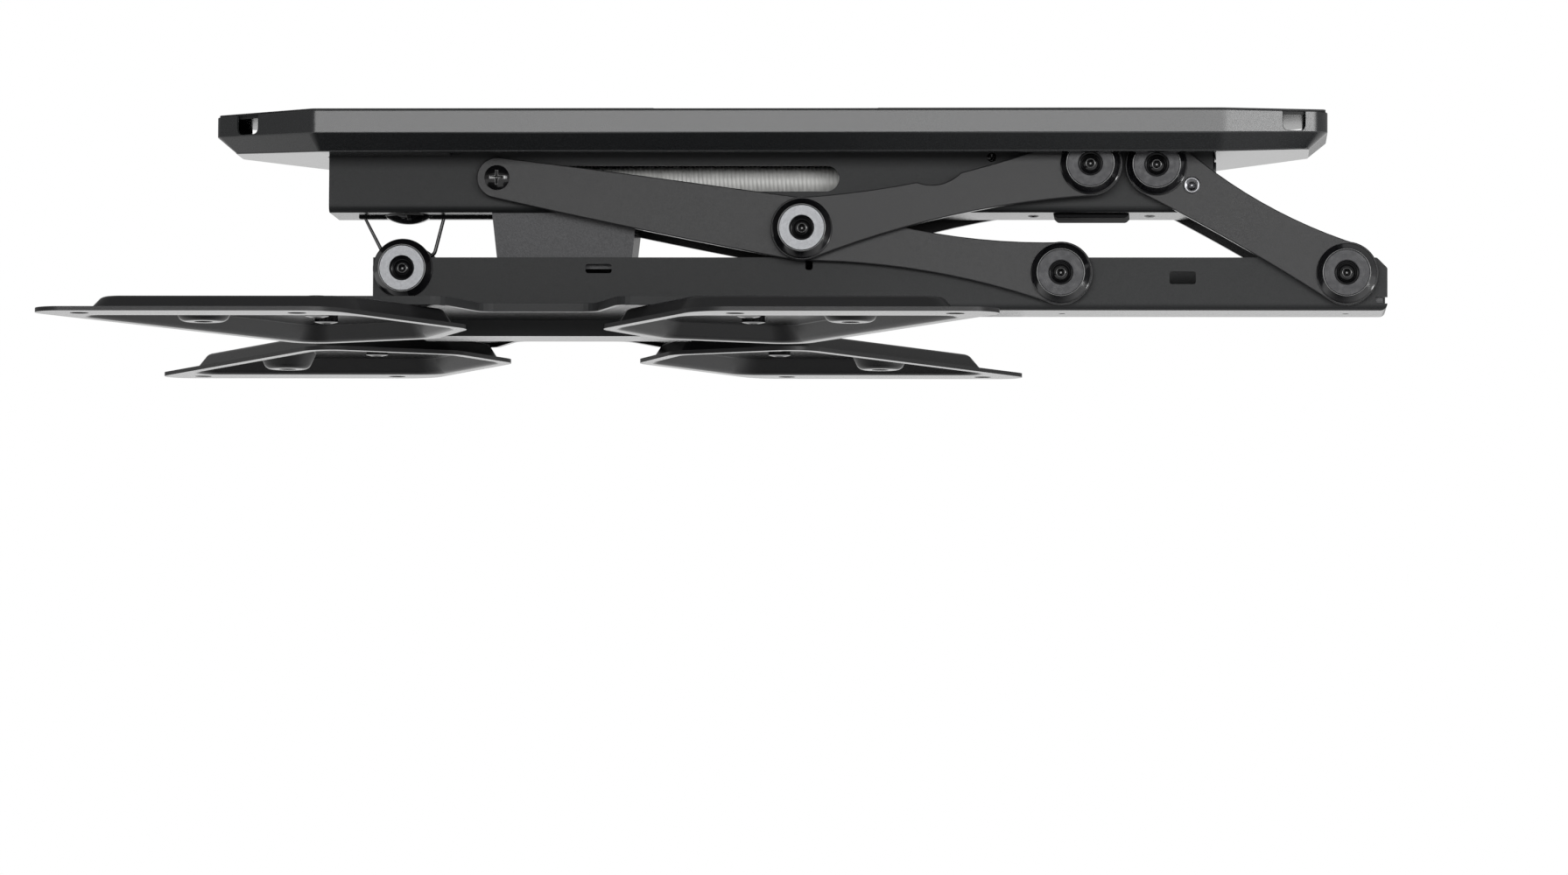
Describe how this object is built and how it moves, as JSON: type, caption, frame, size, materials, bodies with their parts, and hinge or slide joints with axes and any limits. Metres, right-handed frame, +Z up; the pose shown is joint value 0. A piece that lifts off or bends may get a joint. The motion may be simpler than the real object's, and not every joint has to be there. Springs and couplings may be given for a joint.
{
  "type": "motorized tv ceiling mount",
  "caption": "Electric flip-down ceiling mount for a flat television: a scissor linkage swings a slotted rail and bracket from flat to upright.",
  "frame": {"origin": "centre of the ceiling plate's top face, which lies against the ceiling", "axes": "+Z up towards the ceiling, +X along the plate towards the arm pivots, Y across the plate"},
  "size_m": [0.6198, 0.428, 0.1099],
  "materials": {
    "powder_coated_steel": "fine satin powder coat",
    "cover_plastic": "fine moulded texture",
    "textured_plastic": "coarse moulded texture",
    "gloss_plastic": "glossy",
    "blackened_screw": "black oxide",
    "zinc_plated": "zinc plated",
    "bright_steel": "turned",
    "bronze": "turned bronze",
    "motor_can": "black",
    "circuit_board": "solder mask"
  },
  "bodies": {
    "root": {"ceiling_plate": "powder_coated_steel", "cover_shell": "cover_plastic", "drive_box": "powder_coated_steel", "box_end_left": "powder_coated_steel", "box_end_right": "powder_coated_steel", "drive_motor": "motor_can", "motor_gearbox": "zinc_plated", "motor_saddle": "zinc_plated", "screw_supports": "zinc_plated", "screw_bearings": "bright_steel", "guide_rods": "bright_steel", "limit_switches": "textured_plastic", "control_box": "textured_plastic", "control_board": "circuit_board", "ir_lens": "gloss_plastic", "cable_guide": "powder_coated_steel", "power_inlet": "gloss_plastic", "underside_cap": "textured_plastic", "lift_pivot_shaft": "bright_steel", "end_pivot_shaft": "bright_steel", "fixed_spacers": "zinc_plated", "fixed_covers": "gloss_plastic", "fixed_pivot_screws": "blackened_screw", "box_screws": "blackened_screw"},
    "lead_screw": {"lead_screw": "bright_steel", "screw_coupling": "zinc_plated"},
    "carriage": {"carriage_block": "zinc_plated", "carriage_nut": "bronze", "carriage_pins": "bright_steel"},
    "lift_arms": {"lift_arm_near": "powder_coated_steel", "lift_arm_far": "powder_coated_steel", "middle_shaft": "bright_steel", "middle_covers": "gloss_plastic", "middle_washers": "zinc_plated", "middle_pivot_screws": "blackened_screw"},
    "long_arms": {"long_arm_near": "powder_coated_steel", "long_arm_far": "powder_coated_steel", "slide_screws": "blackened_screw", "long_arm_spacers": "zinc_plated"},
    "end_arms": {"end_arm_near": "powder_coated_steel", "end_arm_far": "powder_coated_steel", "end_covers": "gloss_plastic", "end_pivot_screws": "blackened_screw", "stop_screws": "blackened_screw"},
    "rail": {"rail_channel": "powder_coated_steel", "rail_end_cap": "textured_plastic", "rail_shafts": "bright_steel", "rail_covers": "gloss_plastic", "tilt_washers": "zinc_plated", "rail_pivot_screws": "blackened_screw"},
    "bracket": {"tilt_hinge": "powder_coated_steel", "spider_plate": "powder_coated_steel", "bracket_arm_near_left": "powder_coated_steel", "bracket_arm_near_right": "powder_coated_steel", "bracket_arm_far_left": "powder_coated_steel", "bracket_arm_far_right": "powder_coated_steel", "bracket_bolts": "blackened_screw"}
  },
  "joints": [
    {"name": "fold", "type": "hinge", "parent": "root", "child": "lift_arms", "pos_m": [0.1541, 0, -0.0247], "axis": [0, -1, 0], "range_deg": [0, 57.44]},
    {"name": "long_arm_swing", "type": "hinge", "parent": "lift_arms", "child": "long_arms", "pos_m": [0.0164, 0, -0.0555], "axis": [0, 1, 0], "range_deg": [0, 105.98]},
    {"name": "rail_swing", "type": "hinge", "parent": "long_arms", "child": "rail", "pos_m": [0.14003, 0, -0.0765], "axis": [0, -1, 0], "range_deg": [0, 138.53]},
    {"name": "end_arm_swing", "type": "hinge", "parent": "root", "child": "end_arms", "pos_m": [0.1856, 0, -0.0247], "axis": [0, 1, 0], "range_deg": [0, 67.66]},
    {"name": "carriage_slide", "type": "slide", "parent": "root", "child": "carriage", "axis": [1, 0, 0], "range_m": [0, 0.15809]},
    {"name": "screw_spin", "type": "hinge", "parent": "root", "child": "lead_screw", "pos_m": [-0.13079, 0, -0.0305], "axis": [1, 0, 0], "range_deg": [0, 14219.1]},
    {"name": "bracket_tilt", "type": "hinge", "parent": "rail", "child": "bracket", "pos_m": [-0.1764, 0, -0.074], "axis": [0, 1, 0], "range_deg": [0, 10]}
  ],
  "couplings": [
    {"joint": "long_arm_swing", "follows": "fold", "ratio": 1.8447},
    {"joint": "rail_swing", "follows": "fold", "ratio": 2.4114},
    {"joint": "end_arm_swing", "follows": "fold", "ratio": 1.1776},
    {"joint": "carriage_slide", "follows": "fold", "m_per_rad": 0.15758},
    {"joint": "screw_spin", "follows": "fold", "ratio": 247.53}
  ]
}
